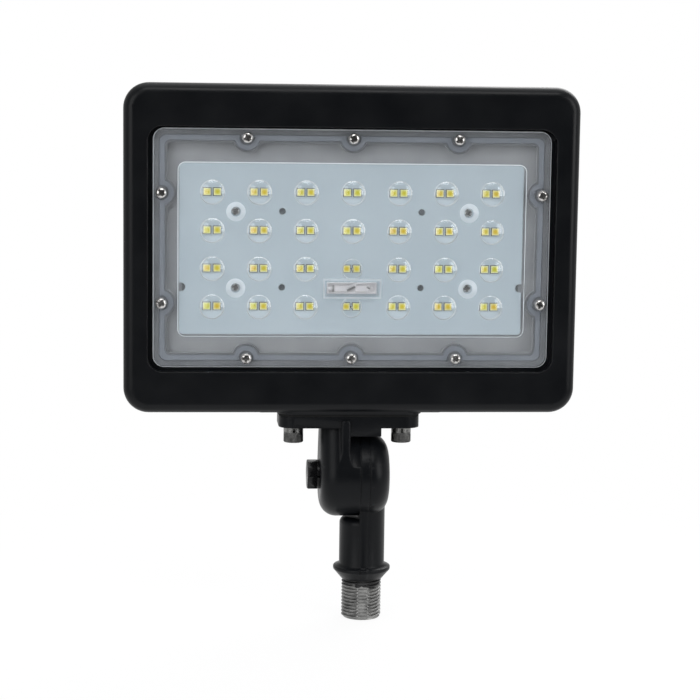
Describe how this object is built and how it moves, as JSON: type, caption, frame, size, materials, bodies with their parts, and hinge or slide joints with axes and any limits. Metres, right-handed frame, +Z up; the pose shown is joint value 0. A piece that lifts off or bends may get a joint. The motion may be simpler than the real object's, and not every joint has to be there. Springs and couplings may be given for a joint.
{
  "type": "flood light",
  "caption": "LED flood light: a flat die-cast housing with a clear lens plate over rows of paired LEDs, on a tilting knuckle with a hollow threaded stem.",
  "frame": {"origin": "on the axis of the stem's thread, where the collar seats on the thing that it screws into", "axes": "+Z up along the stem, the light faces -Y, +X to the right of someone who looks at its face"},
  "size_m": [0.2346, 0.0472, 0.2815],
  "materials": {
    "casting_black": "satin",
    "lens_clear": "gloss",
    "seal_grey": "matte",
    "seal_black": "matte",
    "stainless": "satin",
    "dark_steel": "satin",
    "black_steel": "satin",
    "board_white": "satin",
    "lamp_white": "satin",
    "phosphor_yellow": "satin",
    "connector_white": "satin",
    "lead_red": "satin",
    "lead_black": "satin",
    "driver_metal": "satin"
  },
  "bodies": {
    "base": {"knuckle_lower": "casting_black", "pivot_bolt": "black_steel", "pivot_washer": "black_steel", "joint_seal": "seal_black"},
    "head": {"knuckle_upper": "casting_black", "knuckle_gasket": "seal_black", "flange_screws": "dark_steel", "flange_spring_washers": "dark_steel", "flange_washers": "dark_steel", "housing": "casting_black", "lens_cover": "lens_clear", "lens_gasket": "seal_grey", "lens_screws": "stainless", "led_board": "board_white", "thermal_pad": "seal_grey", "led_packages": "lamp_white", "led_phosphors": "phosphor_yellow", "board_screws": "stainless", "board_connector": "connector_white", "lead_red": "lead_red", "lead_black": "lead_black", "wire_grommet": "seal_black", "driver_module": "driver_metal", "driver_screws": "stainless", "rear_cover": "casting_black", "rear_cover_gasket": "seal_black", "rear_cover_screws": "stainless"}
  },
  "joints": [
    {"name": "head_tilt", "type": "hinge", "parent": "base", "child": "head", "pos_m": [0, 0, 0.0557], "axis": [1, 0, 0], "range_deg": [-90, 90]}
  ]
}
